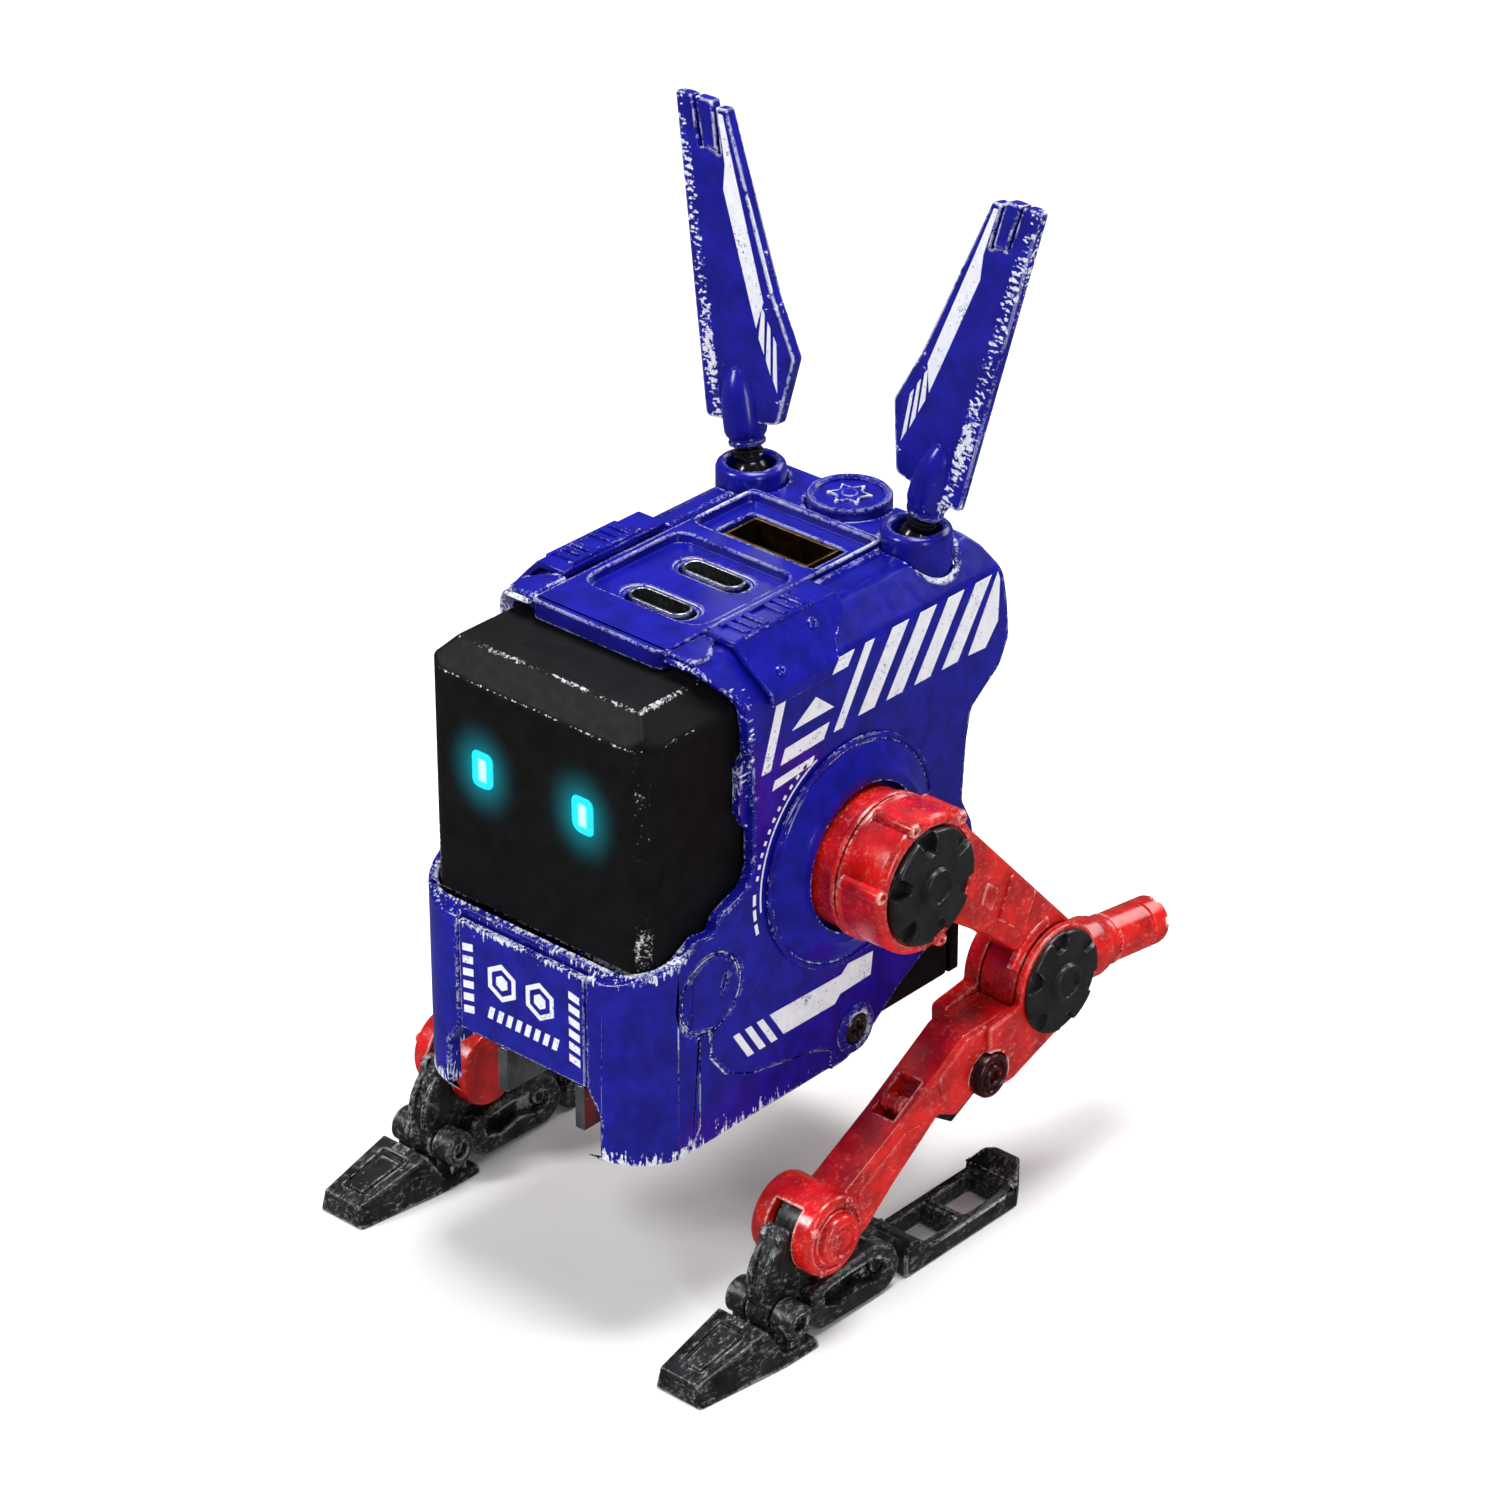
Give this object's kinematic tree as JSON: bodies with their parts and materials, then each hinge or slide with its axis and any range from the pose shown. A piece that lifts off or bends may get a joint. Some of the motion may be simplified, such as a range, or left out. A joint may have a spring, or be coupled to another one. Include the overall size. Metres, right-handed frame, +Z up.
{
  "type": "toy robot charger",
  "caption": "Square-headed desk robot in an armour shell with posable ears, legs and feet, glowing eyes, ports on top and a folding mains plug underneath.",
  "frame": {"origin": "centre of the bounding box on the plane the feet stand on", "axes": "+Z up along the height, -Y the way the face looks, +X to the right when the robot is seen from its front"},
  "size_m": [0.0684, 0.0892, 0.1316],
  "materials": {
    "blue_paint": "gloss",
    "red_paint": "gloss",
    "black_shell": "satin",
    "black_cap": "satin",
    "foot_metal": "satin",
    "bright_steel": "brushed",
    "gold_contact": "polished",
    "eye_light": "gloss",
    "circuit_board": "satin",
    "component": "satin",
    "copper_wire": "satin",
    "black_plastic": "satin"
  },
  "bodies": {
    "root": {"armour_shell": "blue_paint", "front_panel": "blue_paint", "port_frame": "blue_paint", "medallion": "blue_paint", "shoulder_bracket_r": "blue_paint", "shoulder_bracket_l": "blue_paint", "hip_flange_r": "blue_paint", "hip_flange_l": "blue_paint", "ear_socket_r": "blue_paint", "ear_socket_l": "blue_paint", "side_screw_r": "black_cap", "side_screw_l": "black_cap", "hip_base_r": "red_paint", "hip_base_l": "red_paint", "hip_axle_r": "bright_steel", "hip_axle_l": "bright_steel", "core_housing": "black_shell", "rear_cover": "black_shell", "eye_light_r": "eye_light", "eye_light_l": "eye_light", "led_board": "circuit_board", "main_board": "circuit_board", "usb_board": "circuit_board", "transformer": "component", "bulk_capacitor": "component", "choke_coil": "copper_wire", "usb_c_shell_1": "bright_steel", "usb_c_shell_2": "bright_steel", "usb_a_shell": "gold_contact", "usb_a_tongue": "black_plastic"},
    "plug": {"plug_carrier": "black_plastic", "plug_blade_r": "bright_steel", "plug_blade_l": "bright_steel"},
    "leg_upper_r": {"thigh_r": "red_paint", "hip_cap_r": "black_cap", "knee_tube_r": "red_paint"},
    "leg_lower_r": {"shin_r": "red_paint", "knee_cap_r": "black_cap", "knee_pin_r": "bright_steel", "ankle_pin_r": "bright_steel", "shin_washer_r": "red_paint"},
    "foot_r": {"midfoot_r": "foot_metal"},
    "toe_link_r": {"toe_r": "foot_metal"},
    "heel_link_r": {"heel_r": "foot_metal"},
    "ear_base_r": {"ear_stem_r": "black_cap"},
    "ear_r": {"ear_blade_r": "blue_paint"},
    "leg_upper_l": {"thigh_l": "red_paint", "hip_cap_l": "black_cap", "knee_tube_l": "red_paint"},
    "leg_lower_l": {"shin_l": "red_paint", "knee_cap_l": "black_cap", "knee_pin_l": "bright_steel", "ankle_pin_l": "bright_steel", "shin_washer_l": "red_paint"},
    "foot_l": {"midfoot_l": "foot_metal"},
    "toe_link_l": {"toe_l": "foot_metal"},
    "heel_link_l": {"heel_l": "foot_metal"},
    "ear_base_l": {"ear_stem_l": "black_cap"},
    "ear_l": {"ear_blade_l": "blue_paint"}
  },
  "joints": [
    {"name": "plug_fold", "type": "hinge", "parent": "root", "child": "plug", "pos_m": [0, -0.01961, 0.02815], "axis": [1, 0, 0], "range_deg": [0, 90]},
    {"name": "hip_r", "type": "hinge", "parent": "root", "child": "leg_upper_r", "pos_m": [0.0283, -0.00461, 0.0544], "axis": [1, 0, 0], "range_deg": [-75, 75]},
    {"name": "knee_r", "type": "hinge", "parent": "leg_upper_r", "child": "leg_lower_r", "pos_m": [0.0283, 0.02059, 0.0299], "axis": [1, 0, 0], "range_deg": [-30, 60]},
    {"name": "ankle_r", "type": "hinge", "parent": "leg_lower_r", "child": "foot_r", "pos_m": [0.0283, -0.02161, 0.0135], "axis": [1, 0, 0], "range_deg": [-20, 12]},
    {"name": "toe_hinge_r", "type": "hinge", "parent": "foot_r", "child": "toe_link_r", "pos_m": [0.0283, -0.02841, 0.0047], "axis": [1, 0, 0], "range_deg": [-35, 15]},
    {"name": "heel_hinge_r", "type": "hinge", "parent": "foot_r", "child": "heel_link_r", "pos_m": [0.0283, -0.01201, 0.0039], "axis": [1, 0, 0], "range_deg": [-8, 10]},
    {"name": "ear_tilt_r", "type": "hinge", "parent": "root", "child": "ear_base_r", "pos_m": [0.0132, 0.01489, 0.0863], "axis": [0, 1, 0], "range_deg": [-20, 10]},
    {"name": "ear_twist_r", "type": "hinge", "parent": "ear_base_r", "child": "ear_r", "pos_m": [0.0132, 0.01489, 0.0863], "axis": [0.238, 0.093, 0.9668], "range_deg": [-90, 90]},
    {"name": "hip_l", "type": "hinge", "parent": "root", "child": "leg_upper_l", "pos_m": [-0.0283, -0.00461, 0.0544], "axis": [1, 0, 0], "range_deg": [-75, 75]},
    {"name": "knee_l", "type": "hinge", "parent": "leg_upper_l", "child": "leg_lower_l", "pos_m": [-0.0283, 0.02059, 0.0299], "axis": [1, 0, 0], "range_deg": [-30, 60]},
    {"name": "ankle_l", "type": "hinge", "parent": "leg_lower_l", "child": "foot_l", "pos_m": [-0.0283, -0.02161, 0.0135], "axis": [1, 0, 0], "range_deg": [-20, 12]},
    {"name": "toe_hinge_l", "type": "hinge", "parent": "foot_l", "child": "toe_link_l", "pos_m": [-0.0283, -0.02841, 0.0047], "axis": [1, 0, 0], "range_deg": [-35, 15]},
    {"name": "heel_hinge_l", "type": "hinge", "parent": "foot_l", "child": "heel_link_l", "pos_m": [-0.0283, -0.01201, 0.0039], "axis": [1, 0, 0], "range_deg": [-8, 10]},
    {"name": "ear_tilt_l", "type": "hinge", "parent": "root", "child": "ear_base_l", "pos_m": [-0.0132, 0.01489, 0.0863], "axis": [0, -1, 0], "range_deg": [-20, 10]},
    {"name": "ear_twist_l", "type": "hinge", "parent": "ear_base_l", "child": "ear_l", "pos_m": [-0.0132, 0.01489, 0.0863], "axis": [-0.238, 0.093, 0.9668], "range_deg": [-90, 90]}
  ]
}
